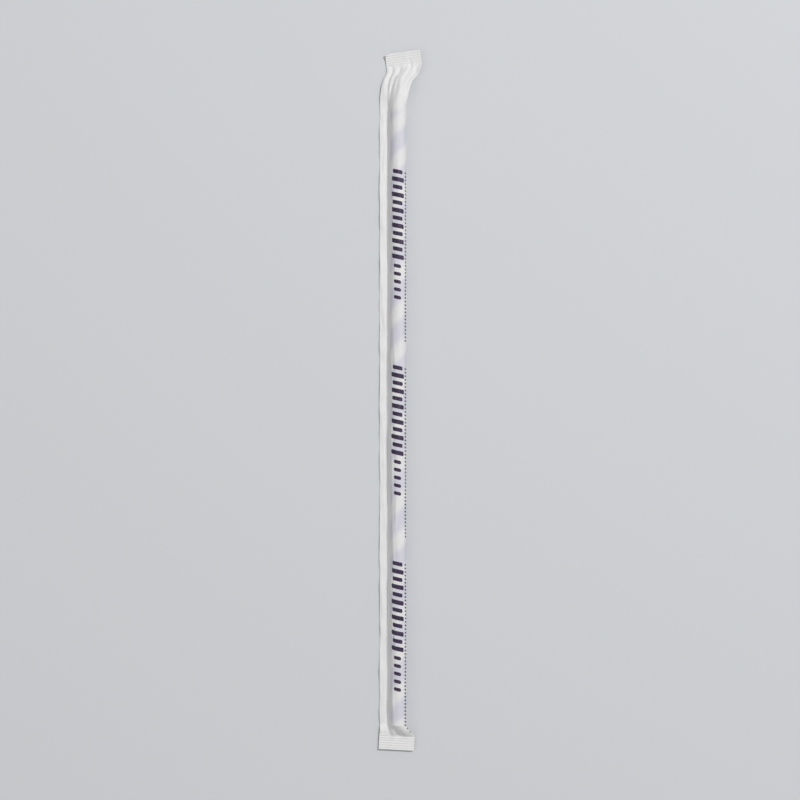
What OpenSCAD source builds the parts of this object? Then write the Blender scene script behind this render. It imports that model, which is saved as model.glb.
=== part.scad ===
// Drinking straw in its paper sachet, lying on its flat web.
// The straw is a spiral-wound paper tube. One web of thin paper is folded round it, lapped and
// glued under it, and pressed flat and crimped at both ends. It lies along Y, head end at +Y.

/* [Straw] */
// Outside diameter of the paper tube
straw_d = 6; // [4:0.5:12]
// Wall of the wound tube
straw_wall = 0.4; // [0.3:0.05:0.8]
// Length of the straw
straw_l = 260; // [120:5:300]

/* [Sachet] */
// Thickness of one ply of the wrapping paper
paper_t = 0.08; // [0.05:0.01:0.15]
// Play between the straw and the paper round it
straw_play = 0.1; // [0.05:0.05:0.5]
// Gap between the two plies where they lie on each other
ply_gap = 0.06; // [0.04:0.01:0.12]
// Glue between two plies in the lap and in the seals
glue_t = 0.02; // [0.01:0.01:0.04]
// Flange beside the straw, from its foot crease to its folded edge
flange_w = 3.3; // [1.5:0.1:8]
// Slack beside the straw, from the side of the tube to the foot crease
slack_w = 1.6; // [0.8:0.1:4]
// Width of the glued lap under the straw
lap_w = 3; // [2:0.5:5]
// How far the edge of the flange lifts off the table in its waves
flange_lift = 0.7; // [0:0.1:1.5]

/* [Ends] */
// Length of each crimped seal
seal_l = 6; // [4:0.5:12]
// Pitch of the crimped ribs
rib_pitch = 1; // [0.8:0.1:2]
// Height of a crimped rib above the middle of the seal
rib_h = 0.1; // [0.05:0.01:0.25]
// Empty paper between the straw and the foot seal
foot_gap = 5; // [4:0.5:15]
// Empty paper between the straw and the head seal
head_gap = 18; // [8:0.5:30]
// Height of the lengthwise ripples in the empty paper
ripple_h = 0.62; // [0:0.02:0.9]
// Width of the widest ripple
ripple_w = 6.3; // [4:0.1:9]
// Height of the tallest crease in the empty paper
crease_h = 0.6; // [0:0.05:0.7]
// Sideways shift of the head seal from the straw's axis
head_shift = 2.2; // [0:0.1:3]
// Angle that the head seal is turned by in its own plane
head_turn = 7; // [0:1:10]
// How far the head seal is lifted on its side away from the flange
head_lift = 1.5; // [0:0.1:3]
// How far the end of the head seal curls up
head_curl = 0.6; // [0:0.1:1.5]
// Length of the bent corner at the head, along the side of the sachet
corner_l = 5; // [2:0.5:6]
// Angle that the corner is bent up by
corner_bend = 35; // [10:5:60]

/* [Facets] */
// Widest facet across the paper
facet_w = 0.8; // [0.5:0.05:1.2]
// Longest facet along the straw
facet_l = 15; // [10:1:40]

/* [Hidden] */

// Across the sachet: the mean radius of the paper round the straw, and the heights of the lower ply
// and of the straw's axis above the table, which the outside of the glued lap lies on
wrap_r = straw_d / 2 + straw_play + paper_t / 2;
lap_t = paper_t + glue_t;
web_z = lap_t + paper_t / 2;
axis_z = web_z + wrap_r;

// The web leaves the straw at two tangents, which meet at the foot crease. The crest is the place on
// the web that lies on top of the straw.
foot_x = -wrap_r - slack_w;
tangent_l = -foot_x;
tangent_a = 2 * atan(tangent_l / wrap_r);
lean_a = 270 - tangent_a;
arc_l = (360 - tangent_a) / 360 * 2 * PI * wrap_r;
flat_w = flange_w + tangent_l + arc_l / 2;
crest = flange_w + tangent_l + (lean_a - 90) / 180 * PI * wrap_r;

// Along the sachet
foot_rim = seal_l + foot_gap;
head_rim = foot_rim + straw_l;
head_seal = head_rim + head_gap;
sachet_l = head_seal + seal_l;
rim_play = 0.25;
rib_n = round(seal_l / rib_pitch);
rib_l = seal_l / rib_n;

// Past the head of the straw the paper flattens first at its sides and last over the crest
taper_side = 0.56 * head_gap;
taper_crest = 0.92 * head_gap;
crest_reach = 6;

// Heights of the middle of the seals and of the paper at the rims of the straw
seal_margin = 0.2;
seal_z = rib_h + 1.5 * lap_t + paper_t / 2 + seal_margin;
foot_seal_z = seal_z + 0.8;
rim_z = 0.8 * axis_z;

// Sideways places of the middle of the flattened paper from the straw's axis, and the foot's turn
neck_x = -0.6;
foot_mid_x = -0.8;
foot_turn = -3;

// Half width of the fold at the sachet's edges, the length over which the corner bends, the slant of
// its line, the air between the plies of the empty paper, and the step that its slopes are taken over
edge_w = 0.12;
bend_w = 3.6;
corner_slant = 0.75;
pocket_h = 0.4;
fine_step = 0.02;

// Waves of the flange's edge and of its foot crease along the straw: [length, phase]
flange_waves = [[71, 40], [28, 0]];
flange_swing = 0.55;
wobble_waves = [[53, 63], [22, 11]];
foot_wobble = 0.16;

// Ripples of the empty paper: [share of ripple_w, lean, phase, share of ripple_h]
seal_ripple = 0.05;
foot_ripple = 0.5;
ripple_waves = [[1, 0.012, 0.1, 0.85], [0.56, -0.031, 0.55, 0.38], [0.35, 0.055, 0.2, 0.16]];

// Creases of the empty paper. Each runs between two places, each a share of the way across the
// sachet and of the way from the straw to the seal: [across, along, across, along, half width,
// share of crease_h]
head_creases = [
    [0.22, -0.17, 0.43, 0.56, 1.5, -0.9],
    [0.43, 0.39, 0.28, 1.08, 1.3, -0.75],
    [0.11, 0.11, 0.22, 0.89, 1.3, 0.9],
    [0.58, -0.11, 0.62, 0.72, 1.7, -0.85],
    [0.92, -0.06, 0.57, 0.97, 1.4, 1],
    [0.82, 0.28, 0.9, 1.06, 1.1, -0.65],
    [0.36, 0.5, 0.51, 1.11, 1.2, 0.65],
    [0.73, 0.61, 0.69, 1.17, 1, -0.5]
];
foot_creases = [
    [0.22, -0.5, 0.34, 1.1, 1.3, -0.65],
    [0.65, -0.4, 0.55, 1.2, 1.5, -0.75],
    [0.89, -0.3, 0.74, 1.3, 1.2, 0.75],
    [0.45, 0.1, 0.4, 1.5, 1.1, 0.6]
];

// Places across the web, from its inner edge under the lap, round the sachet and back over the lap.
// Each is the distance s from the left fold: over the upper ply, then back under the lower one.
// Both plies have their places at the same distances from the fold, so that their facets match.
lap_past = 0.5;
lap_lo = flange_w + tangent_l - lap_w + lap_past;
lap_hi = lap_lo + lap_w;
jog_w = 0.3;
web_from = 2 * flat_w - lap_hi;
breaks = [0, edge_w, flange_w, lap_lo, lap_hi, lap_hi + jog_w, flat_w - edge_w, flat_w];
from_fold = concat([0], [
    for (k = [0 : len(breaks) - 2]) each spread(breaks[k], breaks[k + 1], facet_w)
]);
fold_n = len(from_fold);
web_places = concat(
    [for (k = [fold_n - 1 : -1 : 1]) if (from_fold[k] < lap_hi + fine_step) 2 * flat_w - from_fold[k]],
    [for (q = from_fold) 2 * flat_w + q],
    [for (k = [fold_n - 2 : -1 : 1]) if (from_fold[k] > lap_lo - fine_step) 4 * flat_w - from_fold[k]]
);
web_n = len(web_places);

// Places along the sachet: two rings to a rib, close rings at the ends and long ones on the straw
foot_step = 1.2;
head_step = 1.6;
function spread(a, b, step) =
    let (n = max(1, ceil(abs(b - a) / step))) [for (i = [1 : n]) a + (b - a) * i / n];
stations = concat(
    [for (i = [0 : 2 * rib_n - 1]) i * rib_l / 2],
    [seal_l],
    spread(seal_l, foot_rim - rim_play, foot_step),
    [foot_rim + rim_play],
    spread(foot_rim + rim_play, head_rim - rim_play, facet_l),
    [head_rim + rim_play],
    spread(head_rim + rim_play, head_seal, head_step),
    [for (i = [1 : 2 * rib_n]) head_seal + i * rib_l / 2]
);
station_n = len(stations);

function clip(t) = min(1, max(0, t));
function ease(t) = let (c = clip(t)) c * c * (3 - 2 * c);
function mix(a, b, t) = a + (b - a) * t;
function sum(list) = list * [for (item = list) 1];
function waves(y, list) = sum([for (w = list) sin(360 * y / w[0] + w[1])]) / len(list);

// Shares of the way from the foot seal to the straw, and from the straw to the head seal
function foot_t(y) = clip((y - seal_l) / foot_gap);
function head_t(y) = clip((y - head_rim) / head_gap);

// Distance from the left fold, the same for the two plies, and the side that a place is on
function fold_q(s) = min(s, 2 * flat_w - s);
function is_top(s) = s <= flat_w;

// Share of the flat section: 0 round the straw, 1 at the seals
function near_crest(s) = clip(1 - abs(s - crest) / crest_reach);
function flatness(s, y) = y < foot_rim
    ? clip((foot_rim - rim_play - y) / (foot_gap - rim_play))
    : clip((y - head_rim - rim_play) / mix(taper_side, taper_crest, near_crest(s)));

// Distance between the middles of the two plies: the seals press them together
function ply_space(y) = paper_t + (y < seal_l || y > head_seal ? glue_t : ply_gap);

// Section round the straw: flange, tangent, arc, tangent, flange
function edge_lift(y) = flange_lift * clip(0.5 + flange_swing * waves(y, flange_waves));
function tube_section(s, y) =
    let (
        q = fold_q(s),
        side = is_top(s) ? 1 : -1,
        half = (paper_t + ply_gap) / 2,
        crease_x = foot_x + foot_wobble * waves(y, wobble_waves)
    )
    q < flange_w ? [
        crease_x - flange_w + q,
        y,
        web_z + half + edge_lift(y) * (1 - q / flange_w) + side * half * clip(q / edge_w)
    ]
    : q < flange_w + tangent_l ? (
        let (t = (q - flange_w) / tangent_l)
        is_top(s) ? [
            mix(crease_x, wrap_r * cos(lean_a), t),
            y,
            mix(web_z + 2 * half, axis_z + wrap_r * sin(lean_a), t)
        ] : [mix(crease_x, 0, t), y, web_z]
    )
    : let (a = lean_a - (s - flange_w - tangent_l) / wrap_r * 180 / PI)
        [wrap_r * cos(a), y, axis_z + wrap_r * sin(a)];

// A zigzag between -1 and 1 with one peak to each unit
function zigzag(t) = 4 * abs(t - floor(t) - 0.5) - 1;

// Ripples of the empty paper. They take up width, so the rippled paper is narrower.
function ripple_size(y) = seal_ripple + ripple_h * (y < foot_rim
    ? foot_ripple * sin(180 * foot_t(y))
    : pow(max(0, sin(180 * head_t(y))), 0.6));
function ripple(q, y) = sum([
    for (w = ripple_waves) w[3] * zigzag(q / (w[0] * ripple_w) + w[1] * y + w[2])
]);
steepness = sum([for (w = ripple_waves) pow(4 * w[3] / (w[0] * ripple_w), 2)]);

// Ribs across the seals, with a peak at both edges of each seal
function rib(y) =
    let (past = y < foot_rim ? seal_l - y : y - head_seal)
    rib_h * (past >= 0 ? zigzag(past / rib_l) : clip(1 + 2 * past / rib_l));

// Height of the flattened paper: it droops from the straw to the table, with its ripples above that
function droop(y) = ripple_size(y) - seal_ripple + (y < foot_rim
    ? mix(foot_seal_z, rim_z, ease(foot_t(y)))
    : mix(rim_z, seal_z, ease(head_t(y))));

// Turns a place on the flat end up about the slanting line of the bent corner
function bend_corner(p) =
    let (
        along = [corner_l * corner_slant, corner_l],
        out = [-along[1], along[0]] / norm(along),
        from = [head_shift - flat_w / 2, sachet_l - corner_l],
        d = (p[0] - from[0]) * out[0] + (p[1] - from[1]) * out[1],
        a = corner_bend * ease(d / bend_w)
    )
    d <= 0 ? p : [
        p[0] + out[0] * (d * (cos(a) - 1) - p[2] * sin(a)),
        p[1] + out[1] * (d * (cos(a) - 1) - p[2] * sin(a)),
        p[2] * cos(a) + d * sin(a)
    ];

// Turns each end in its own plane about the middle of its seal's inner edge
function turn_end(p, y) =
    let (
        foot = y < foot_rim,
        a = foot ? foot_turn * ease(1 - 1.5 * foot_t(y)) : head_turn * ease(3 * head_t(y) - 2),
        pivot = foot ? [foot_mid_x, seal_l] : [head_shift, head_seal],
        d = [p[0] - pivot[0], p[1] - pivot[1]]
    )
    [
        pivot[0] + d[0] * cos(a) - d[1] * sin(a),
        pivot[1] + d[0] * sin(a) + d[1] * cos(a),
        p[2]
    ];

// Height of the creases at a share t of the way from the straw to the seal
function crease(list, q, t) = crease_h * sum([
    for (c = list)
        let (
            u = clip((t - c[1]) / (c[3] - c[1])),
            centre = flat_w * mix(c[0], c[2], u)
        )
        c[5] * 4 * u * (1 - u) * clip(1 - abs(q - centre) / c[4])
]);

// The surface midway between the two flattened plies
function midway(q, y) =
    let (
        foot = y < foot_rim,
        size = ripple_size(y),
        mid = foot ? foot_mid_x : mix(neck_x, head_shift, ease(1.5 * head_t(y) - 0.5)),
        narrow = 1 / sqrt(1 + steepness * pow(size, 2)),
        p = bend_corner([mid + (q - flat_w / 2) * narrow, y, size * ripple(q, y) + rib(y)]),
        creases = foot ? crease(foot_creases, q, (foot_rim - y) / foot_gap)
            : crease(head_creases, q, (y - head_rim) / head_gap),
        tilt = foot ? 0 : head_lift * q / flat_w * ease(head_t(y)),
        curl = foot ? 0 : head_curl * pow(clip((y - head_seal) / seal_l), 2),
        z = max(p[2] + droop(y) + tilt + curl + creases, web_z + lap_t)
    )
    turn_end([p[0], p[1], z], y);

// Section of the flattened ends. Each ply lies square off the surface midway between the two.
function pressed(q) = clip(q / edge_w) * clip((flat_w - q) / edge_w);
function flat_section(s, y) =
    let (
        q = fold_q(s),
        side = is_top(s) ? 1 : -1,
        n = cross(
            midway(q + fine_step, y) - midway(q - fine_step, y),
            midway(q, y + fine_step) - midway(q, y - fine_step)
        ),
        share = y < foot_rim ? foot_t(y) : head_t(y),
        air = pocket_h * sin(180 * share) * sin(180 * q / flat_w)
    )
    midway(q, y) + n / norm(n) * side * pressed(q) * ply_space(y) / 2
        + [0, 0, is_top(s) ? air : 0];

// The middle of the paper at a place in the web
function paper(s, y) =
    let (w = flatness(s, y))
    w == 0 ? tube_section(s, y) : mix(tube_section(s, y), flat_section(s, y), w);

middle = [
    for (y = stations) [for (u = web_places) paper(u % (2 * flat_w), y)]
];

// Outward direction at each place, from its neighbours in the sheet
function outward(i, j) =
    let (
        next = middle[i][min(j + 1, web_n - 1)] - middle[i][max(j - 1, 0)],
        far = middle[min(i + 1, station_n - 1)][j] - middle[max(i - 1, 0)][j],
        n = cross(next, far)
    )
    n / norm(n);

// The outer edge of the web steps over its inner edge by one ply and the glue
function lap_step(u) = lap_t * clip((u - 2 * flat_w - web_from + jog_w) / jog_w);
function skin(off) = [
    for (i = [0 : station_n - 1]) for (j = [0 : web_n - 1])
        middle[i][j] + outward(i, j) * (off + lap_step(web_places[j]))
];
outside = skin(paper_t / 2);
inside = skin(-paper_t / 2);

// The origin is under the middle of the sachet
xs = [for (p = outside) p[0]];
ys = [for (p = outside) p[1]];
zs = [for (p = outside) p[2]];
place = -[(min(xs) + max(xs)) / 2, (min(ys) + max(ys)) / 2, min(zs)];

// Two triangles over four corners given clockwise from outside. They split from the first corner,
// and the lower ply starts one corner on, so that it matches the upper one.
function pair(a, b, c, d) = [[a, b, c], [a, c, d]];
function match(top, a, b, c, d) = top ? pair(a, b, c, d) : pair(b, c, d, a);
function cell_top(j) = is_top((web_places[j] + web_places[j + 1]) / 2 % (2 * flat_w));

// The folded web: its two faces, its two long edges and its two cut ends
module sheet() {
    count = station_n * web_n;
    last = (station_n - 1) * web_n;
    faces = [
        for (i = [0 : station_n - 2]) for (j = [0 : web_n - 2])
            let (a = i * web_n + j, d = a + web_n, b = count + a, e = count + d, top = cell_top(j))
                each concat(
                    match(top, a, d, d + 1, a + 1),
                    match(top, b, b + 1, e + 1, e)
                )
    ];
    edges = [
        for (i = [0 : station_n - 2])
            let (a = i * web_n, b = a + web_n - 1)
                each concat(
                    pair(a, count + a, count + a + web_n, a + web_n),
                    pair(b, b + web_n, count + b + web_n, count + b)
                )
    ];
    ends = [
        for (a = [0 : web_n - 2])
            let (b = last + a)
                each concat(
                    pair(a, a + 1, count + a + 1, count + a),
                    pair(b, count + b, count + b + 1, b + 1)
                )
    ];
    polyhedron(points = concat(outside, inside), faces = concat(faces, edges, ends));
}

module wrapper() {
    color("#e2dfe2")
        translate(place)
            sheet();
}

module straw() {
    color("#2475de")
        translate(place + [0, foot_rim, axis_z])
            rotate([-90, 0, 0])
                difference() {
                    cylinder(d = straw_d, h = straw_l, $fn = 64);
                    translate([0, 0, -1])
                        cylinder(d = straw_d - 2 * straw_wall, h = straw_l + 2, $fn = 64);
                }
}

wrapper();
straw();
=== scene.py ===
# %% [markdown]
# # A drinking straw in its paper sachet
# The object has two pieces. The straw is a tube wound from strips of paper. The sachet is one web
# of thin paper that a machine folds round the straw, laps and glues underneath, and crimps shut at
# both ends. This lesson loads the frame, which fixes the real size and place of both pieces, then
# builds the paper as a mesh from formulas, gives both pieces a finish, and lights them.
#
# The straw's shape in the frame is right as it is, so it only gets a better material. The sachet's
# is replaced by a finer sheet of the same sizes, because thin paper lives by its small creases.

# %% Load the frame
import math

import bpy
import numpy as np
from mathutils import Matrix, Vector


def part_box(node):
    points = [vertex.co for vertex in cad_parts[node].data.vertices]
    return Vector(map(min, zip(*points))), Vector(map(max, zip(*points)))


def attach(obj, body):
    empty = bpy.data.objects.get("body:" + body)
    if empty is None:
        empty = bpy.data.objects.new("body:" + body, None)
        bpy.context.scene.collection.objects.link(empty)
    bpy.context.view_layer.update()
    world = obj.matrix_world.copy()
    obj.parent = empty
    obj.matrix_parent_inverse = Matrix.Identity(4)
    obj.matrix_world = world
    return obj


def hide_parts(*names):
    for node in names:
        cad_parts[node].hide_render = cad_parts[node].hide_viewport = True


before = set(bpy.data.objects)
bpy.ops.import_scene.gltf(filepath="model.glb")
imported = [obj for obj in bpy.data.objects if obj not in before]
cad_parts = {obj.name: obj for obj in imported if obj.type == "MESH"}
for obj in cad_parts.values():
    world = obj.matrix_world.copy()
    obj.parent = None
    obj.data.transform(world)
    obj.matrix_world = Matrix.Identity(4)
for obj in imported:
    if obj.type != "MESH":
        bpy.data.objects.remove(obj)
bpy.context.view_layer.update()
MM = 1000
straw_box = np.array(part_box("straw")) * MM
sachet_box = np.array(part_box("wrapper")) * MM
print("straw, mm:", straw_box.round(2).tolist())
print("sachet, mm:", sachet_box.round(2).tolist())

# %% [markdown]
# ## Sizes
# All sizes are in millimetres, as a packer would write them, and become metres only when the mesh is
# made. The straw's axis, radius and ends come from the frame. The rest are the paper's own sizes:
# how thick it is, how much of it lies beside the straw, and how long the two crimped seals are.

# %% Sizes of the straw and the web
AXIS_X, AXIS_Z = straw_box[:, 0].mean(), straw_box[:, 2].mean()
STRAW_R = (straw_box[1, 0] - straw_box[0, 0]) / 2
FOOT_RIM, HEAD_RIM = straw_box[:, 1]
PAPER = 0.08  # one ply
GLUE = 0.02  # between two plies that are glued
PLY_GAP = 0.06  # between two plies that only lie on each other
PLAY = 0.1  # between the straw and the paper round it
FLANGE = 3.3  # the double paper beside the tube
SLACK = 1.6  # from the straw's side to the flange
LAP, LAP_UNDER = 3.0, 0.5  # the glued lap, and how far it reaches in under the straw
SEAL = 6.0  # each crimped seal, along the sachet
FOOT_GAP, HEAD_GAP = 5.0, 18.0  # empty paper between the straw's rim and the seal
FOOT_SEAL, HEAD_SEAL = FOOT_RIM - FOOT_GAP, HEAD_RIM + HEAD_GAP
FOOT_END, HEAD_END = FOOT_SEAL - SEAL, HEAD_SEAL + SEAL
SACHET_L = HEAD_END - FOOT_END

# %% Sizes of the section that follow from them
# The paper leaves the table at FOOT_X and touches the straw where a tangent from there does. TANGENT
# is that line's length, LEAN_A the angle at which it meets the straw, and ARC the stretch round it.
WRAP_R = STRAW_R + PLAY + PAPER / 2
LAP_STEP = PAPER + GLUE
WEB_Z = LAP_STEP + PAPER / 2
FOOT_X = -WRAP_R - SLACK
TANGENT = -FOOT_X
LEAN_A = 1.5 * math.pi - 2 * math.atan(TANGENT / WRAP_R)
ARC = (LEAN_A + math.pi / 2) * WRAP_R
FLAT_W = FLANGE + TANGENT + ARC / 2
LAP_HI = FLANGE + TANGENT + LAP_UNDER
LAP_LO = LAP_HI - LAP
ROUND = 2 * FLAT_W
WEB_FROM = ROUND - LAP_HI
print(f"flat sachet {FLAT_W:.2f} mm wide, web {ROUND + LAP:.2f} mm, axis {AXIS_Z:.2f} mm up")

# %% [markdown]
# ## Small tools
# `clip` and `ease` shape every transition, and `zigzag` draws the straight-sided waves that folded
# paper makes. Cloth bends in round waves, but paper prefers flat facets that meet in sharp creases.

# %% Shaping functions
def clip(t):
    """A share, kept between 0 and 1."""
    return np.clip(t, 0.0, 1.0)


def ease(t):
    """A share that starts and ends softly."""
    t = clip(t)
    return t * t * (3 - 2 * t)


def zigzag(t):
    """A wave of straight lines between -1 and 1, of length 1."""
    return 4 * np.abs(t - np.floor(t) - 0.5) - 1


def waves(x, spots):
    """A slow uneven wave of about unit height, from (length, phase) pairs."""
    return sum(np.sin(2 * math.pi * x / length + phase) for length, phase in spots) / len(spots)


print("zigzag over one wave:", [float(zigzag(k / 4)) for k in range(5)])

# %% [markdown]
# ## Where the points go
# The web is a grid. Across it, the places run from the inner edge under the lap, round the sachet
# and back over the lap. Both plies have their columns at the same distances from the fold, so that
# their facets match and the thin plies never cut each other. Along it, rows are close at the creased
# ends and wider on the plain middle.

# %% Rows and columns of the web
SAME = 1e-6  # places closer than this are the same place


def spread(stops, steps):
    """Places from stop to stop, each stretch cut into equal parts no longer than its step."""
    out = [stops[0]]
    for a, b, step in zip(stops, stops[1:], steps):
        n = max(1, math.ceil((b - a) / step - SAME))
        out += [a + (b - a) * i / n for i in range(1, n + 1)]
    return np.array(out)


# %% Lay out the grid
# Each stretch ends at a line where the paper bends or changes, and has its own step.
EDGE = 0.12  # the rounding of a folded edge
JOG = 0.3  # the stretch over which the outer ply of the lap climbs onto the inner one
RIM_PLAY = 0.25  # the straw's rim to the first paper that can sink
FINE, PLAIN = 0.27, 0.30  # steps across
CLOSE, MIDDLE, FAR, NEAR = 0.25, 0.6, 1.3, 9.0  # steps along, and how far from a rim they widen
from_fold = spread(
    [0, EDGE, FLANGE, LAP_LO, LAP_HI, LAP_HI + JOG, FLAT_W - EDGE, FLAT_W],
    [EDGE, FINE, PLAIN, PLAIN, JOG / 2, FINE, EDGE])
inner_edge = from_fold[from_fold < LAP_HI + SAME]
outer_edge = from_fold[from_fold > LAP_LO - SAME]
across = np.concatenate([
    ROUND - inner_edge[::-1], ROUND + from_fold[1:], ROUND + 2 * FLAT_W - outer_edge[-2::-1]])
along = spread(
    [FOOT_END, FOOT_SEAL, FOOT_RIM - RIM_PLAY, FOOT_RIM + RIM_PLAY, FOOT_RIM + NEAR,
     HEAD_RIM - NEAR, HEAD_RIM - RIM_PLAY, HEAD_RIM + RIM_PLAY, HEAD_SEAL, HEAD_END],
    [CLOSE] * 3 + [MIDDLE, FAR, MIDDLE] + [CLOSE] * 3)
print("columns:", len(across), "rows:", len(along))

# %% The four numbers of every point
# U runs across the web, and Y along it. S is the distance round the sachet from the flange's fold, Q
# the distance from that fold within a ply, and UPPER is 1 on the upper ply and -1 on the under one.
U, Y = np.meshgrid(across, along)
S = np.mod(U, ROUND)
Q = np.minimum(S, ROUND - S)
UPPER = np.where(S <= FLAT_W, 1.0, -1.0)
print("web grid:", U.shape, "triangles:", 4 * (U.shape[0] - 1) * (U.shape[1] - 1))

# %% [markdown]
# ## The section round the straw
# Seen from its end, the paper lies flat on the table, leaves it where it meets the straw, goes round
# the straw and comes down again to a sharp crease. Beyond that crease both plies lie on each other
# as a flange. Two tangents and an arc describe that exactly, so no simulation is needed for it.

# %% How the flange waves
# Its fold lifts off the table in uneven waves, some round and some kinked, each with a length in mm
# and a phase. The line where the paper comes down to the flange wanders a little as well.
FLANGE_LIFT = 0.7
FLANGE_WAVES, WAVE_SHARE = [(71.0, 0.7), (28.0, 0.0), (17.3, 2.1), (9.1, 4.0)], 0.85
KINK_LENGTH, KINK_GROUP, KINK_PHASE, KINK_SHARE = 13.7, 41.0, 0.3, 0.17
FOOT_WOBBLE, WOBBLE_WAVES = 0.16, [(53.0, 1.1), (22.0, 0.2), (13.0, 3.0)]


def flange_lift(from_foot):
    """Height of the flange's fold, at places in mm from the foot end."""
    kink = zigzag(from_foot / KINK_LENGTH + KINK_PHASE) * zigzag(from_foot / KINK_GROUP)
    kinks = KINK_SHARE * kink
    return FLANGE_LIFT * clip(0.5 + WAVE_SHARE * waves(from_foot, FLANGE_WAVES) + kinks)


print("flange lift, mm, each 40 mm:", flange_lift(np.arange(0, SACHET_L, 40)).round(2).tolist())


# %% Round the straw
def tube_section():
    """Every point's place if the straw were under it: flange, slopes to the straw, and round it."""
    upper = UPPER > 0
    foot_x = FOOT_X + FOOT_WOBBLE * waves(Y - FOOT_END, WOBBLE_WAVES)
    half = (PAPER + PLY_GAP) / 2
    x, z = np.empty_like(S), np.empty_like(S)
    flange = Q < FLANGE
    x[flange] = (foot_x - FLANGE + Q)[flange]
    z[flange] = (WEB_Z + half + flange_lift(Y - FOOT_END) * (1 - Q / FLANGE)
                 + UPPER * half * clip(Q / EDGE))[flange]
    slope = (Q >= FLANGE) & (Q < FLANGE + TANGENT)
    t = (Q - FLANGE) / TANGENT
    up = slope & upper
    x[up] = (foot_x + (WRAP_R * math.cos(LEAN_A) - foot_x) * t)[up]
    low = WEB_Z + 2 * half
    z[up] = (low + (AXIS_Z + WRAP_R * math.sin(LEAN_A) - low) * t)[up]
    down = slope & ~upper
    x[down] = (foot_x * (1 - t))[down]
    z[down] = WEB_Z
    arc = Q >= FLANGE + TANGENT
    a = LEAN_A - (S - FLANGE - TANGENT) / WRAP_R
    x[arc] = (WRAP_R * np.cos(a))[arc]
    z[arc] = (AXIS_Z + WRAP_R * np.sin(a))[arc]
    return np.stack([x, Y, z], -1)


# %% [markdown]
# ## The flattened ends
# Past the straw the sachet is empty, so its two plies fall together. The paper over the crest of the
# straw comes down last, which leaves a tent that narrows towards the seal. The empty paper ripples
# lengthwise, and ripples take up width, so the rippled stretch is narrower than the seal. A cloth
# simulation would give soft round folds here, so straight-sided formulas draw the paper's own.

# %% How far the paper has flattened
# The sides are flat TAPER_SIDE past the rim, and the crest TAPER_CREST past it. What holds the crest
# up reaches CREST_LEFT and CREST_RIGHT mm to its sides, in full for CREST_TOP mm to its left.
CREST = FLANGE + TANGENT + (LEAN_A - math.pi / 2) * WRAP_R
TAPER_SIDE, TAPER_CREST = 0.56 * HEAD_GAP, 0.92 * HEAD_GAP
CREST_LEFT, CREST_RIGHT, CREST_TOP = 8.4, 6.0, 4.4
near_crest = np.where(S < CREST, clip((CREST_LEFT - CREST + S) / (CREST_LEFT - CREST_TOP)),
                      clip(1 - (S - CREST) / CREST_RIGHT))
taper = TAPER_SIDE + (TAPER_CREST - TAPER_SIDE) * near_crest
flatness = np.where(
    Y < 0,
    clip((FOOT_RIM - RIM_PLAY - Y) / (FOOT_GAP - RIM_PLAY)),
    clip((Y - HEAD_RIM - RIM_PLAY) / taper))
print("flat share of the points:", flatness.mean().round(2))

# %% Ripples of the empty paper
RIPPLE, RIPPLE_W = 0.62, 6.3  # mm high and wide
SEAL_RIPPLE, FOOT_RIPPLE = 0.05, 0.5  # what is left in the seals, mm, and the foot's share of RIPPLE
FULLNESS = 0.6  # below 1, the head's ripples stay high for more of their length
# Each wave has a width as a share of RIPPLE_W, a lean, a phase and a share of the height.
RIPPLE_WAVES = [(1.0, 0.012, 0.10, 0.85), (0.56, -0.031, 0.55, 0.38), (0.35, 0.055, 0.20, 0.16)]
STEEPNESS = sum((4 * part / (share * RIPPLE_W)) ** 2 for share, lean, phase, part in RIPPLE_WAVES)


def foot_share(y):
    """Share of the way from the foot seal to the straw's rim."""
    return clip((y - FOOT_SEAL) / FOOT_GAP)


def head_share(y):
    """Share of the way from the straw's rim to the head seal."""
    return clip((y - HEAD_RIM) / HEAD_GAP)


def ripple_size(y):
    """Height of the ripples, which grow fast from nothing at the rim and fade out at the seal."""
    foot = FOOT_RIPPLE * np.sin(math.pi * foot_share(y))
    head = np.abs(np.sin(math.pi * head_share(y))) ** FULLNESS
    return SEAL_RIPPLE + RIPPLE * np.where(y < 0, foot, head)


def ripple(q, y):
    """The ripples' own wave, of about unit height."""
    return sum(part * zigzag(q / (share * RIPPLE_W) + lean * (y - FOOT_END) + phase)
               for share, lean, phase, part in RIPPLE_WAVES)


print("ripples narrow the empty paper to", round(1 / math.sqrt(1 + STEEPNESS * RIPPLE ** 2), 2))


# %% Creases of the empty paper
# Each crease runs between two places, given as shares of the way across the sachet and of the way
# from the straw to the seal. Then come its widths in mm to its left and right, and its height as a
# share of CREASE. The first two carry on the groove beside the flange.
CREASE = 0.6
ROUNDING = 0.12  # the share of the width over which its line is rounded
HEAD_CREASES = [
    (0.33, -0.10, 0.39, 0.96, 1.4, 0.95, -2.30),
    (0.25, 0.20, 0.15, 1.06, 1.5, 0.85, -2.15),
    (0.11, 0.11, 0.22, 0.89, 1.3, 1.3, 0.70),
    (0.58, -0.11, 0.62, 0.72, 1.7, 1.3, -0.95),
    (0.92, -0.06, 0.57, 0.97, 1.4, 1.4, 1.00),
    (0.82, 0.28, 0.90, 1.06, 1.1, 1.1, -0.65),
    (0.36, 0.50, 0.51, 1.11, 1.2, 1.2, 0.65),
    (0.73, 0.61, 0.69, 1.17, 1.0, 0.7, -0.70),
]
FOOT_CREASES = [
    (0.22, -0.50, 0.34, 1.10, 1.3, 1.3, -0.65),
    (0.65, -0.40, 0.55, 1.20, 1.5, 1.5, -0.75),
    (0.89, -0.30, 0.74, 1.30, 1.2, 1.2, 0.75),
    (0.45, 0.10, 0.40, 1.50, 1.1, 1.1, 0.60),
]


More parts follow.
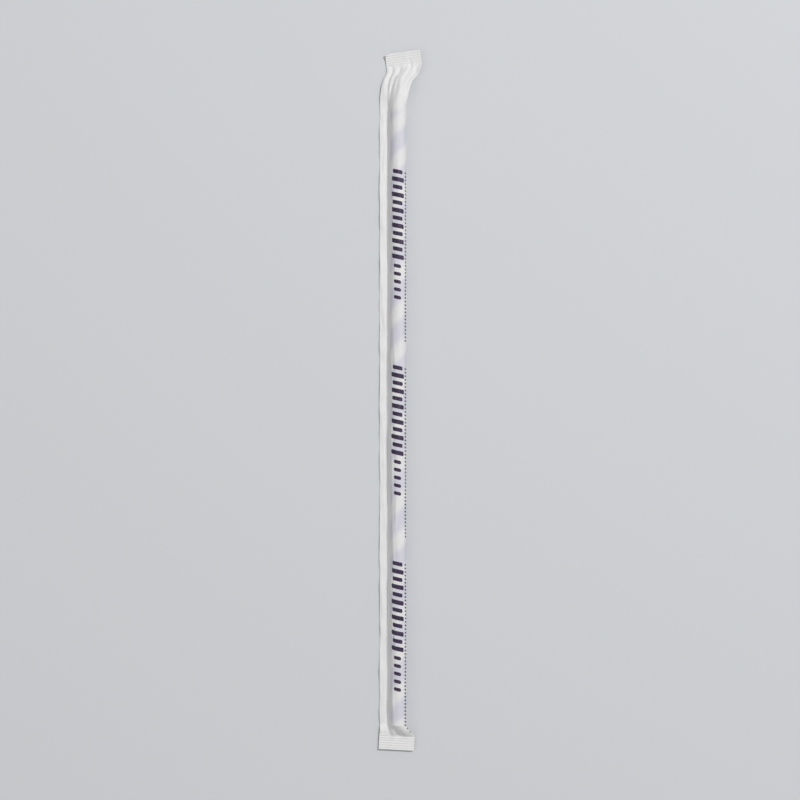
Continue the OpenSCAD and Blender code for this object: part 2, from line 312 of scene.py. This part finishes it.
def crease_height(creases, q, t):
    """Height in mm that all the creases add at a place t of the way from the rim to the seal."""
    total = 0.0
    for q0, t0, q1, t1, left_w, right_w, share in creases:
        u = clip((t - t0) / (t1 - t0))
        past = q - FLAT_W * (q0 + (q1 - q0) * u)
        away = np.hypot(np.maximum(-past / left_w, past / right_w), ROUNDING) - ROUNDING
        total = total + share * 4 * u * (1 - u) * clip(1 - away)
    return CREASE * total


print("creases:", len(HEAD_CREASES), "at the head,", len(FOOT_CREASES), "at the foot")

# %% [markdown]
# ## The two seals
# Heated, ribbed bars press the plies together, which leaves straight ribs across each seal. The head
# seal has been handled: it is a little turned and tilted, and one of its corners curls up. One
# surface midway between the plies holds all of this, and each ply lies square off it, so that they
# never cut each other, however steep a crease is.

# %% Where the seals lie
RIB, RIB_PITCH = 0.10, 1.0  # a rib's height over the seal's middle, and from one rib to the next
SEAL_CLEAR, FOOT_SEAL_UP = 0.2, 0.8  # from the table to the seals' ribs, and more at the foot
SEAL_Z = RIB + 1.5 * LAP_STEP + PAPER / 2 + SEAL_CLEAR  # room for the under ply and its lap
FOOT_SEAL_Z, FOOT_RIM_Z, HEAD_RIM_Z = SEAL_Z + FOOT_SEAL_UP, 0.8 * AXIS_Z, 1.1 * AXIS_Z
NECK_X, HEAD_X, FOOT_MID_X = -0.6, 2.2, -0.8  # the middle of the paper at its neck and seals
HEAD_TURN, FOOT_TURN = math.radians(7), math.radians(-3)  # in the plane of the table
HEAD_LIFT, HEAD_CURL = 1.5, 0.6  # how much higher the head's far side and its end lie
CORNER, CORNER_SLANT = 5.0, 0.75  # the bent corner, and its width as a share of its length
CORNER_BEND, BEND_W = math.radians(35), 3.6
LOW_SIDE, LOW_FROM, LOW_W = 0.3, FLANGE - 0.6, 2.8  # the empty paper is lower beside the flange


def in_seal(y):
    """Whether a place is in one of the two seals."""
    return (y < FOOT_SEAL) | (y > HEAD_SEAL)


def droop(q, y):
    """Height of the empty paper over the table."""
    low_side = LOW_SIDE + (1 - LOW_SIDE) * ease((q - LOW_FROM) / LOW_W)
    foot = FOOT_SEAL_Z + (FOOT_RIM_Z - FOOT_SEAL_Z) * ease(foot_share(y))
    head = SEAL_Z + (HEAD_RIM_Z - SEAL_Z) * ease(1 - head_share(y)) * low_side
    return np.where(y < 0, foot, head) + ripple_size(y) - SEAL_RIPPLE


def bend_corner(p):
    """Turns the corner of the head seal up about a slanting line."""
    along_line = np.array([CORNER_SLANT, 1.0]) * CORNER
    out = np.array([-along_line[1], along_line[0]]) / np.linalg.norm(along_line)
    start = np.array([HEAD_X - FLAT_W / 2, HEAD_END - CORNER])
    d = (p[..., 0] - start[0]) * out[0] + (p[..., 1] - start[1]) * out[1]
    a = np.where(d > 0, CORNER_BEND * ease(d / BEND_W), 0.0)
    shift = np.where(d > 0, d * (np.cos(a) - 1) - p[..., 2] * np.sin(a), 0.0)
    turned = np.where(d > 0, p[..., 2] * np.cos(a) + d * np.sin(a), p[..., 2])
    return np.stack([p[..., 0] + out[0] * shift, p[..., 1] + out[1] * shift, turned], -1)


def turn_end(p, y):
    """Turns each end in its own plane about the middle of its seal's inner edge.

    The foot turns over two thirds of its short empty paper, and the head over its last third.
    """
    a = np.where(y < 0, FOOT_TURN * ease(1 - 1.5 * foot_share(y)),
                 HEAD_TURN * ease(3 * head_share(y) - 2))
    pivot_x = np.where(y < 0, FOOT_MID_X, HEAD_X)
    pivot_y = np.where(y < 0, FOOT_SEAL, HEAD_SEAL)
    dx, dy = p[..., 0] - pivot_x, p[..., 1] - pivot_y
    return np.stack([pivot_x + dx * np.cos(a) - dy * np.sin(a),
                     pivot_y + dx * np.sin(a) + dy * np.cos(a), p[..., 2]], -1)


# %% The surface midway between the plies
def midway(q, y):
    """The surface between the plies, at q mm from the flange's fold and y mm along.

    At the head, the middle of the paper shifts from NECK_X to HEAD_X over the half next to the seal.
    """
    foot = y < 0
    size = ripple_size(y)
    mid = np.where(foot, FOOT_MID_X, NECK_X + (HEAD_X - NECK_X) * ease(2 * head_share(y) - 1))
    narrow = 1 / np.sqrt(1 + STEEPNESS * size ** 2)
    past_edge = np.where(foot, FOOT_SEAL - y, y - HEAD_SEAL)
    ribs = RIB * np.where(past_edge >= 0, zigzag(past_edge / RIB_PITCH),
                          clip(1 + 2 * past_edge / RIB_PITCH))
    p = bend_corner(np.stack([mid + (q - FLAT_W / 2) * narrow, y, size * ripple(q, y) + ribs], -1))
    creases = np.where(foot, crease_height(FOOT_CREASES, q, (FOOT_RIM - y) / FOOT_GAP),
                       crease_height(HEAD_CREASES, q, (y - HEAD_RIM) / HEAD_GAP))
    tilt = HEAD_LIFT * q / FLAT_W * ease(head_share(y))
    curl = HEAD_CURL * clip((y - HEAD_SEAL) / SEAL) ** 2
    z = p[..., 2] + droop(q, y) + np.where(foot, 0.0, tilt + curl) + creases
    p[..., 2] = np.maximum(z, WEB_Z + LAP_STEP)
    return turn_end(p, y)


seal_sides = midway(np.array([0, FLAT_W]), np.full(2, HEAD_SEAL))[:, 2]
print("head seal, mm high at its two sides:", seal_sides.round(2).tolist())

# %% The flattened plies
POCKET = 0.4  # air that keeps the upper ply off the under one
STEP = 0.02  # the small step that gives the surface's slopes


def flat_section():
    """Every point's place if the sachet were empty there."""
    slope_across = midway(Q + STEP, Y) - midway(Q - STEP, Y)
    slope_along = midway(Q, Y + STEP) - midway(Q, Y - STEP)
    off = np.cross(slope_across, slope_along)
    off /= np.linalg.norm(off, axis=-1, keepdims=True)
    fold = clip(Q / EDGE) * clip((FLAT_W - Q) / EDGE)
    space = PAPER + np.where(in_seal(Y), GLUE, PLY_GAP)
    p = midway(Q, Y) + off * (UPPER * fold * space / 2)[..., None]
    share = np.where(Y < 0, foot_share(Y), head_share(Y))
    air = POCKET * np.sin(math.pi * share) * np.sin(math.pi * Q / FLAT_W)
    p[..., 2] += np.where(UPPER > 0, air, 0.0)
    return p


# %% [markdown]
# ## Slack paper along the straw
# Thin paper never lies quite tight. It lifts in long, narrow lozenges with a crisp ridge. A noise
# texture would give round lumps, so small tents with straight sides are laid out here, at random but
# from a fixed seed. Where the paper touches the straw it can only lift outwards.

# %% Lozenges of slack paper
lozenge_seed = np.random.default_rng(11)
LONG, WIDE, LEAN = (4, 17), (0.8, 1.9), (-0.08, 0.08)  # half length, half width, slant
FROM_RIM = 4  # mm from the straw's rims to the first and last of them


def lozenges(count, at, at_range, heights):
    """Sum of small four-sided tents, long in Y, at places in a range of S or of Q."""
    total = np.zeros_like(S)
    for _ in range(count):
        at0 = lozenge_seed.uniform(*at_range)
        y0 = lozenge_seed.uniform(FOOT_RIM + FROM_RIM, HEAD_RIM - FROM_RIM)
        half_l = lozenge_seed.uniform(*LONG)
        half_w = lozenge_seed.uniform(*WIDE)
        height = lozenge_seed.uniform(*heights)
        slant = lozenge_seed.uniform(*LEAN)
        across_part = np.abs(at - at0 - slant * (Y - y0)) / half_w
        total += height * clip(1 - across_part - np.abs(Y - y0) / half_l)
    return total


# %% Lay them out on the tube, its slopes and the flange
# Ranges are in mm round the section or, on the flange, from its fold. Each call gives first how many
# there are, and last their least and greatest height in mm. A negative height is a dent.
on_crest = (FLANGE + TANGENT - 0.5, FLANGE + TANGENT + 0.52 * ARC)
on_slope = (FLANGE + 1.2, FLANGE + TANGENT - 1.2)
under_slope = (ROUND - FLANGE - 1.8, ROUND - FLANGE - 0.6)
on_flange = (0.3, FLANGE - 0.8)
slack = (lozenges(80, S, on_crest, (0.08, 0.30)) + lozenges(50, S, on_slope, (-0.35, 0.30))
         + lozenges(24, S, under_slope, (-0.30, -0.08)))
BUCKLE_FADE, RIM_FADE_IN = 0.8, 2.0  # mm over which they fade to the tube, and to a rim
buckles = lozenges(46, Q, on_flange, (0.10, 0.34)) * clip((FLANGE - Q) / BUCKLE_FADE)
beside_straw = ease((Y - FOOT_RIM) / RIM_FADE_IN) * ease((HEAD_RIM - Y) / RIM_FADE_IN)
slack, buckles = slack * beside_straw, buckles * beside_straw
print("flange buckles up to", buckles.max().round(2), "mm")

# %% [markdown]
# ## The paper's surface
# The middle of the paper is a blend of the two sections, straight from one to the other, because
# paper can bend but not stretch. The two faces lie half a ply to each side of that middle.

# %% Normals of the sheet
def outward(m):
    """Unit normals of a grid of points, from each point's neighbours."""
    across_step = np.empty_like(m)
    across_step[:, 1:-1] = m[:, 2:] - m[:, :-2]
    across_step[:, 0] = m[:, 1] - m[:, 0]
    across_step[:, -1] = m[:, -1] - m[:, -2]
    along_step = np.empty_like(m)
    along_step[1:-1] = m[2:] - m[:-2]
    along_step[0] = m[1] - m[0]
    along_step[-1] = m[-1] - m[-2]
    n = np.cross(across_step, along_step)
    return n / np.linalg.norm(n, axis=-1, keepdims=True)


# %% The middle of the paper
middle = tube_section() * (1 - flatness[..., None]) + flat_section() * flatness[..., None]
round_straw = np.hypot(middle[..., 0], middle[..., 2] - AXIS_Z) - WRAP_R
SLACK_MOST, SLACK_RISE = 0.4, 0.4  # mm it may stand off, and how fast that grows from the flange
ROOM_USED = 0.7  # the share of the room to the straw that a dent may take
off_foot = SLACK_RISE * np.maximum(Q - FLANGE, 0)
most_in = np.minimum(ROOM_USED * np.maximum(round_straw, 0), off_foot)
slack = np.clip(slack, -most_in, np.minimum(SLACK_MOST, off_foot))
middle += outward(middle) * slack[..., None]
middle[..., 2] += buckles
print("slack paper stands", slack.min().round(2), "to", slack.max().round(2), "mm off")

# %% Its two faces
# Where the web passes over its own first edge, the lap lifts it by a ply and the glue.
lap = LAP_STEP * clip((U - ROUND - WEB_FROM + JOG) / JOG)
normal = outward(middle)
outer = middle + normal * (PAPER / 2 + lap)[..., None]
inner = middle + normal * (lap - PAPER / 2)[..., None]
for face in (outer, inner):
    face[..., 0] += AXIS_X
low, high = outer.reshape(-1, 3).min(0), outer.reshape(-1, 3).max(0)
print("paper spans, mm:", low.round(2).tolist(), high.round(2).tolist())

# %% [markdown]
# ## One closed sheet
# The two grids become one mesh, closed along its four cut edges by a rim as thick as the paper. Its
# UVs are the places on the flat web, so print stays on the paper however it is folded. Folds and
# creases sharper than CRISP keep a hard edge, and softer bends are shaded smooth.

# %% Faces of the sheet
def sheet_quads(rows, cols):
    """Corner numbers of the outer face, the inner face and the rim."""
    count = rows * cols
    g = np.arange(count).reshape(rows, cols)
    a, b, c, d = g[:-1, :-1], g[:-1, 1:], g[1:, 1:], g[1:, :-1]
    # A quad splits from its first corner, so the under ply starts one corner on to match the upper.
    first = (UPPER[:-1, :-1] + UPPER[:-1, 1:] > 0)[..., None]
    outer_quads = np.where(first, np.stack([a, b, c, d], -1), np.stack([b, c, d, a], -1))
    inner_quads = np.where(first, np.stack([a, d, c, b], -1), np.stack([d, c, b, a], -1)) + count
    quads = [outer_quads.reshape(-1, 4), inner_quads.reshape(-1, 4)]
    for p, q in ((g[:-1, 0], g[1:, 0]), (g[1:, -1], g[:-1, -1]), (g[0, 1:], g[0, :-1]),
                 (g[-1, :-1], g[-1, 1:])):
        quads.append(np.stack([p, q, q + count, p + count], -1).reshape(-1, 4))
    return np.concatenate(quads)


# %% Build the folded web
CRISP = math.radians(48)  # a bend sharper than this is a crease


def folded_web(name):
    """The sheet as an object, with its flat places as UVs."""
    quads = sheet_quads(*outer.shape[:2])
    points = np.concatenate([outer.reshape(-1, 3), inner.reshape(-1, 3)]) / MM
    mesh = bpy.data.meshes.new(name)
    mesh.from_pydata(points.tolist(), [], quads.tolist())
    flat = np.stack([(U - WEB_FROM) / (ROUND + LAP), (Y - FOOT_END) / SACHET_L], -1)
    flat = np.concatenate([flat.reshape(-1, 2)] * 2)
    uv = mesh.uv_layers.new(name="web")
    uv.data.foreach_set("uv", flat[quads.ravel()].ravel())
    mesh.shade_smooth()
    mesh.set_sharp_from_angle(angle=CRISP)
    piece = bpy.data.objects.new(name, mesh)
    bpy.context.scene.collection.objects.link(piece)
    return piece


wrapper = folded_web("paper_sachet")
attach(wrapper, "root")
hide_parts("wrapper")
print("sachet:", len(wrapper.data.polygons), "faces")

# %% [markdown]
# ## Colours and nodes
# Every colour is written as the sRGB value that the eye knows, and one function turns it to the
# linear value that the renderer needs. One more small function adds a node, its settings and its
# links. A node that is given as an input stands for its first output, so a formula reads in one go.

# %% Colour and node helpers
def rgb(code):
    """An sRGB hex colour as linear RGBA."""
    parts = [int(code[i:i + 2], 16) / 255 for i in (1, 3, 5)]
    linear = [c / 12.92 if c <= 0.04045 else ((c + 0.055) / 1.055) ** 2.4 for c in parts]
    return (*linear, 1.0)


def add(tree, kind, inputs=(), stops=(), **settings):
    """Adds a node. inputs are nodes or sockets to link, or values to set, by place or by name.

    stops are the places and colours of a colour ramp, which starts with two.
    """
    made = tree.nodes.new("ShaderNode" + kind)
    for key, value in settings.items():
        setattr(made, key, value)
    for k, (at, colour) in enumerate(stops):
        element = made.color_ramp.elements[k] if k < 2 else made.color_ramp.elements.new(at)
        element.position, element.color = at, colour
    pairs = inputs.items() if isinstance(inputs, dict) else enumerate(inputs)
    for key, value in pairs:
        if isinstance(value, bpy.types.Node):
            value = value.outputs[0]
        if isinstance(value, bpy.types.NodeSocket):
            tree.links.new(value, made.inputs[key])
        else:
            made.inputs[key].default_value = value
    return made


# %% A bare material
def surface(name, roughness, ior):
    """A material with a bare shader, and its tree."""
    material = bpy.data.materials.new(name)
    material.use_nodes = True
    shader = material.node_tree.nodes["Principled BSDF"]
    shader.inputs["Roughness"].default_value = roughness
    shader.inputs["IOR"].default_value = ior
    return material, material.node_tree, shader


print("sRGB grey 0.5 is", round(rgb("#808080")[0], 3), "in linear light")

# %% [markdown]
# ## The straw's spiral
# A paper straw is wound from strips at an angle, so its one blue and one white band climb round it
# like the stripes of a barber's pole. A texture could be wrapped round it, but a formula needs no
# seam: the place on the spiral is the height along the straw less the share of a turn. The sachet
# uses the same spiral, because the blue shows through the thin paper just where the straw has it.

# %% The spiral
BAND_PITCH = 16.0  # mm along the straw for one turn of the bands
BAND_START = 3.0  # mm by which the bands are shifted along the straw


def spiral(tree):
    """Place on the spiral from 0 to 1, distance from the axis, and the place in mm."""
    place = add(tree, "TexCoord").outputs["Object"]
    mm = add(tree, "VectorMath", [place, (MM, MM, MM)], operation="MULTIPLY")
    parts = add(tree, "SeparateXYZ", [mm]).outputs
    x = add(tree, "Math", [parts[0], AXIS_X], operation="SUBTRACT")
    z = add(tree, "Math", [parts[2], AXIS_Z], operation="SUBTRACT")
    angle = add(tree, "Math", [x, z], operation="ARCTAN2")
    turn = add(tree, "Math", [angle, 2 * math.pi], operation="DIVIDE")
    climb = add(tree, "Math", [parts[1], 1 / BAND_PITCH, BAND_START / BAND_PITCH],
                operation="MULTIPLY_ADD")
    phase = add(tree, "Math", [add(tree, "Math", [climb, turn], operation="SUBTRACT")],
                operation="FRACT")
    out = add(tree, "CombineXYZ", [x, 0.0, z])
    radius = add(tree, "VectorMath", [out], operation="LENGTH").outputs["Value"]
    return phase, radius, mm


print("one turn of the bands:", BAND_PITCH, "mm")

# %% [markdown]
# ## Straw paper
# The straw is wound from strips of uncoated kraft paper, glued in three layers, and the outermost is
# printed blue on half its width. To the eye that gives a dry, matte colour with a crisp edge where
# one strip ends, a thin darker line there from the glue, and a slight tooth from the fibres.

# %% Straw paper material
STRAW_ROUGH, PAPER_IOR = 0.62, 1.5  # dry uncoated paper, and cellulose
STRAW_WHITE, STRAW_BLUE, STRAW_SEAM = "#f0f3f0", "#2475de", "#1d5fb4"
SEAM, EDGE_SOFT = 0.03, 0.02  # of a turn: half a millimetre of glue line, and its soft edge
# A fibre is 0.02 mm thick, too fine to show, so the tooth is drawn 0.7 mm coarse and 0.05 mm deep.
STRAW_TOOTH, STRAW_TOOTH_DEEP, STRAW_BUMP = 0.7, 0.05, 0.3


def straw_paper():
    """Wound kraft paper: two bands, a line of glue at each edge between them, and a tooth."""
    material, tree, shader = surface("wound_kraft_straw_paper", STRAW_ROUGH, PAPER_IOR)
    phase, radius, mm = spiral(tree)
    bands = add(tree, "ValToRGB", [phase], stops=[
        (0.0, rgb(STRAW_WHITE)), (EDGE_SOFT, rgb(STRAW_SEAM)), (EDGE_SOFT + SEAM, rgb(STRAW_BLUE)),
        (0.5 - SEAM, rgb(STRAW_BLUE)), (0.5, rgb(STRAW_SEAM)), (0.5 + EDGE_SOFT, rgb(STRAW_WHITE))])
    tooth = add(tree, "TexNoise", {"Vector": mm, "Scale": 1 / STRAW_TOOTH, "Detail": 4.0})
    bump = add(tree, "Bump", {"Height": tooth, "Strength": STRAW_BUMP,
                              "Distance": STRAW_TOOTH_DEEP / MM})
    tree.links.new(bands.outputs[0], shader.inputs["Base Color"])
    tree.links.new(bump.outputs[0], shader.inputs["Normal"])
    return material


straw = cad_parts["straw"]
straw_finish = straw_paper()
for slot in straw.material_slots:
    slot.material = straw_finish
print("straw slots:", [slot.material.name for slot in straw.material_slots])

# %% [markdown]
# ## Marks on the sachet
# A sachet is printed in one dark ink, before it is folded, so the marks follow the web and not the
# straw. Here they are plain slanted bars with round corners: a run of tall and short ones, a run of
# small ones, and a fine row beside them, over and over. Bars from a formula stay crisp at any size.

# %% One row of bars
SLANT = 0.22  # mm that a bar leans for each mm of its height
INK_EDGE = 0.07  # mm over which the ink's edge softens


def row_of_marks(tree, run, side, pitch, width, height, corner):
    """Share of ink in a row of bars. Sizes are in mm, and pitch is from one bar to the next."""
    run = add(tree, "Math", [run, pitch / 2], operation="PINGPONG")
    side = add(tree, "Math", [side], operation="ABSOLUTE")
    place = add(tree, "CombineXYZ", [run, side])
    core = (width / 2 - corner, height / 2 - corner, 0)
    past = add(tree, "VectorMath", [place, core], operation="SUBTRACT")
    past = add(tree, "VectorMath", [past, (0, 0, 0)], operation="MAXIMUM")
    far = add(tree, "VectorMath", [past], operation="LENGTH").outputs["Value"]
    return add(tree, "MapRange", [far, corner - INK_EDGE, corner + INK_EDGE, 1.0, 0.0])


print("the bars lean", round(math.degrees(math.atan(SLANT))), "degrees")

# %% All the rows
MARKS_FROM, MARKS_REPEAT = 48.0, 82.4  # mm from the head to the first mark, and round to the next run
MARKS_S = 11.1  # the middle of the rows, mm round the section from the flange's fold
FINE_ASIDE = 4.0  # from there to the middle of the fine row
# Pitch, width, height and corner radius in mm.
TALL, SHORT = (6.5, 1.9, 5.6, 0.5), (6.5, 1.7, 4.4, 0.5)
SMALL, TICK = (3.3, 1.5, 3.2, 0.7), (1.5, 0.7, 1.3, 0.2)
# Where each group starts, mm into a run, and which rows it has: tall and short, small, fine.
GROUPS = [(0.0, (0, 0, 0)), (1.62, (1, 0, 1)), (40.62, (0, 1, 1)), (57.75, (0, 0, 1)),
          (74.25, (0, 0, 0))]


def printed_marks(tree, s, down):
    """Share of ink at a place s mm round the section and down mm from the head."""
    side = add(tree, "Math", [s, MARKS_S], operation="SUBTRACT")
    run = add(tree, "Math", [down, MARKS_FROM], operation="SUBTRACT")
    lean = add(tree, "Math", [side, -SLANT, run], operation="MULTIPLY_ADD")
    runs = add(tree, "Math", [lean, MARKS_REPEAT], operation="DIVIDE")
    share = add(tree, "Math", [runs], operation="FRACT")
    lean = add(tree, "Math", [share, MARKS_REPEAT], operation="MULTIPLY")
    between = add(tree, "Math", [lean, TALL[0] / 2], operation="ADD")
    aside = add(tree, "Math", [side, FINE_ASIDE], operation="SUBTRACT")
    groups = add(tree, "ValToRGB", [share],
                 stops=[(at / MARKS_REPEAT, (*on, 1.0)) for at, on in GROUPS])
    groups.color_ramp.interpolation = "CONSTANT"
    on = add(tree, "SeparateColor", [groups]).outputs
    ink = 0.0
    for window, place, beside, bar in ((on[0], lean, side, TALL), (on[0], between, side, SHORT),
                                       (on[1], lean, side, SMALL), (on[2], lean, aside, TICK)):
        marks = row_of_marks(tree, place, beside, *bar)
        marks = add(tree, "Math", [marks, window], operation="MULTIPLY")
        ink = add(tree, "Math", [marks, ink], operation="MAXIMUM")
    begun = add(tree, "Math", [run, 0.0], operation="GREATER_THAN")
    return add(tree, "Math", [ink, begun], operation="MULTIPLY")


print("runs of marks:", round((SACHET_L - MARKS_FROM) / MARKS_REPEAT, 1))

# %% [markdown]
# ## Wrapping paper
# The sachet is thin bleached kraft paper of about 35 g a square metre, dried on a polished cylinder
# that leaves its outer side smooth but not glossy. To the eye it is a soft white with faint clouds,
# where the fibres lie thicker, and it is thin enough for the straw's blue to show through as lilac
# where the paper touches the straw. Beyond the straw's rims, and where the paper stands off it, that
# fades out. Light that truly passed through the paper would need many samples to render clean, so a
# mixed colour stands for it. The ink soaks in, so it takes the paper's tooth, and it makes the
# surface only a little smoother.

# %% What shows through the paper
RIM_FADE = 3.5  # mm over which the straw fades out past its rims
TOUCHING, TOO_FAR = -0.1, 1.1  # mm from the straw's paper, where it shows in full and not at all
BAND_CORE, BAND_OUT = 0.10, 0.36  # of a turn from the middle of the blue: in full, not at all


def show_through(tree, phase, radius, down):
    """Share of the straw's blue that is seen through the paper."""
    soft = {"interpolation_type": "SMOOTHSTEP"}
    swing = add(tree, "Math", [phase, 0.5], operation="SUBTRACT")
    swing = add(tree, "Math", [swing], operation="ABSOLUTE")
    show = add(tree, "MapRange", [swing, BAND_CORE, BAND_OUT, 0.0, 1.0], **soft)
    near = add(tree, "MapRange", [radius, WRAP_R + TOUCHING, WRAP_R + TOO_FAR, 1.0, 0.0], **soft)
    show = add(tree, "Math", [show, near], operation="MULTIPLY")
    for rim, inward in ((HEAD_RIM, RIM_FADE), (FOOT_RIM, -RIM_FADE)):
        start = HEAD_END - rim
        inside = add(tree, "MapRange", [down, start, start + inward, 0.0, 1.0], **soft)
        show = add(tree, "Math", [show, inside], operation="MULTIPLY")
    return show


print("the blue shows in full over", round(2 * BAND_CORE * BAND_PITCH, 1), "mm of each turn")

# %% Wrapping paper material
SHARE, UNDER, OVER, MIXED = 0, 6, 7, 2  # a Mix node's sockets when it mixes two colours
PAPER_ROUGH, INK_ROUGH = 0.62, 0.52  # uncoated but smoothed paper, and ink that fills its pores
THIN_PAPER, THICK_PAPER, LILAC, INK = "#dedddd", "#e7e6e6", "#d0cfda", "#2b163c"
CLOUD = 1.8  # mm: fibres settle in clouds of about this size
# The tooth of real paper, a few hundredths of a millimetre, is too fine to show, so it is drawn as
# clots 0.75 mm across and, to match, 0.12 mm deep.
TOOTH, TOOTH_DEEP, TOOTH_BUMP = 0.75, 0.12, 0.7
CLOUD_FINER, TOOTH_FINER = 0.6, 0.7  # the share of its height that each finer layer of noise keeps
SPECK = 0.10  # the share of ink that the highest fibres miss
SPECK_FROM, SPECK_TO = 0.50, 0.75  # the heights of the tooth where that begins and where it is full


def wrapping_paper():
    """Bleached kraft paper: clouds, the straw's blue showing through, print, and a tooth."""
    material, tree, shader = surface("bleached_kraft_wrapping_paper", PAPER_ROUGH, PAPER_IOR)
    phase, radius, mm = spiral(tree)
    web = add(tree, "SeparateXYZ", [add(tree, "UVMap", uv_map="web")]).outputs
    s = add(tree, "Math", [web[0], ROUND + LAP, WEB_FROM - ROUND], operation="MULTIPLY_ADD")
    down = add(tree, "Math", [web[1], -SACHET_L, SACHET_L], operation="MULTIPLY_ADD")
    cloud = add(tree, "TexNoise",
                {"Vector": mm, "Scale": 1 / CLOUD, "Detail": 5.0, "Roughness": CLOUD_FINER})
    tooth = add(tree, "TexNoise",
                {"Vector": mm, "Scale": 1 / TOOTH, "Detail": 6.0, "Roughness": TOOTH_FINER})
    paper = add(tree, "Mix", {SHARE: cloud, UNDER: rgb(THIN_PAPER), OVER: rgb(THICK_PAPER)},
                data_type="RGBA")
    show = show_through(tree, phase, radius, down)
    paper = add(tree, "Mix", {SHARE: show, UNDER: paper.outputs[MIXED], OVER: rgb(LILAC)},
                data_type="RGBA")
    taken = add(tree, "MapRange", [tooth, SPECK_FROM, SPECK_TO, 1.0, 1.0 - SPECK])
    ink = add(tree, "Math", [printed_marks(tree, s, down), taken], operation="MULTIPLY")
    paper = add(tree, "Mix", {SHARE: ink, UNDER: paper.outputs[MIXED], OVER: rgb(INK)},
                data_type="RGBA")
    rough = add(tree, "MapRange", [ink, 0.0, 1.0, PAPER_ROUGH, INK_ROUGH])
    bump = add(tree, "Bump", {"Height": tooth, "Strength": TOOTH_BUMP, "Distance": TOOTH_DEEP / MM})
    tree.links.new(paper.outputs[MIXED], shader.inputs["Base Color"])
    tree.links.new(rough.outputs[0], shader.inputs["Roughness"])
    tree.links.new(bump.outputs[0], shader.inputs["Normal"])
    return material


wrapper.data.materials.append(wrapping_paper())
print("nodes in the sachet's paper:", len(wrapper.active_material.node_tree.nodes))

# %% [markdown]
# ## Floor, light and camera
# The sachet lies on a plain pale floor. One lamp high on the right shapes the ridge and the creases.
# A weak wide one on the left and an even pale sky soften its shadows. An all-round sky alone would
# light every side of a crease the same, and white paper shows its folds only by light and shade.

# %% Floor
# Matte emulsion on board: an even pale grey with no gloss, so that the white paper stands out on it.
SIDE = 15.0  # metres, so wide that no low view meets its edge
floor_mesh = bpy.data.meshes.new("floor")
floor_mesh.from_pydata([(-SIDE, -SIDE, 0), (SIDE, -SIDE, 0), (SIDE, SIDE, 0), (-SIDE, SIDE, 0)], [],
                       [(0, 1, 2, 3)])
floor = bpy.data.objects.new("floor", floor_mesh)
bpy.context.scene.collection.objects.link(floor)
FLOOR_ROUGH, FLOOR_IOR, FLOOR_GREY = 0.9, 1.45, "#cfd1d4"
floor_paint, _, floor_shader = surface("matte_emulsion_paint", FLOOR_ROUGH, FLOOR_IOR)
floor_shader.inputs["Base Color"].default_value = rgb(FLOOR_GREY)
floor_mesh.materials.append(floor_paint)
print("floor:", 2 * SIDE, "m wide")

# %% Lamps and sky
# A flat surface takes SKY from the sky, and watts * cosine / (pi * distance) ** 2 from a lamp. The
# shares add up to about 1, the level at which a colour renders as it is written.
SKY = 0.40
world = bpy.data.worlds.new("studio")
bpy.context.scene.world = world
world.use_nodes = True
sky = world.node_tree.nodes["Background"]
sky.inputs["Color"].default_value = (1, 1, 1, 1)
sky.inputs["Strength"].default_value = SKY


def lamp(name, place, size, share):
    """A round lamp aimed at the middle of the sachet, which gives a flat surface this share."""
    light = bpy.data.lights.new(name, "AREA")
    light.shape = "DISK"
    light.size = size
    made = bpy.data.objects.new(name, light)
    made.location = place
    made.rotation_euler = (-made.location).to_track_quat("-Z", "Y").to_euler()
    distance = made.location.length
    light.energy = share * (math.pi * distance) ** 2 * distance / place[2]
    bpy.context.scene.collection.objects.link(made)
    return light.energy


watts = [lamp("key", (0.8, 0.9, 1.85), 0.4, 0.51), lamp("fill", (-1.6, -0.6, 1.8), 1.4, 0.06)]
print("lamps, W:", [round(w, 1) for w in watts])

# %% Camera
# It looks straight down on the sachet. LENS is in mm, and at CAMERA_UP metres the sachet fills most
# of the frame from top to bottom.
LENS, CAMERA_UP = 100, 0.94
camera_data = bpy.data.cameras.new("camera")
camera_data.lens = LENS
camera = bpy.data.objects.new("camera", camera_data)
camera.location = (0, 0, CAMERA_UP)
bpy.context.scene.collection.objects.link(camera)
bpy.context.scene.camera = camera
bpy.context.scene.view_settings.view_transform = "Standard"
print("camera sees", round(camera_data.sensor_width / LENS * CAMERA_UP * MM), "mm")
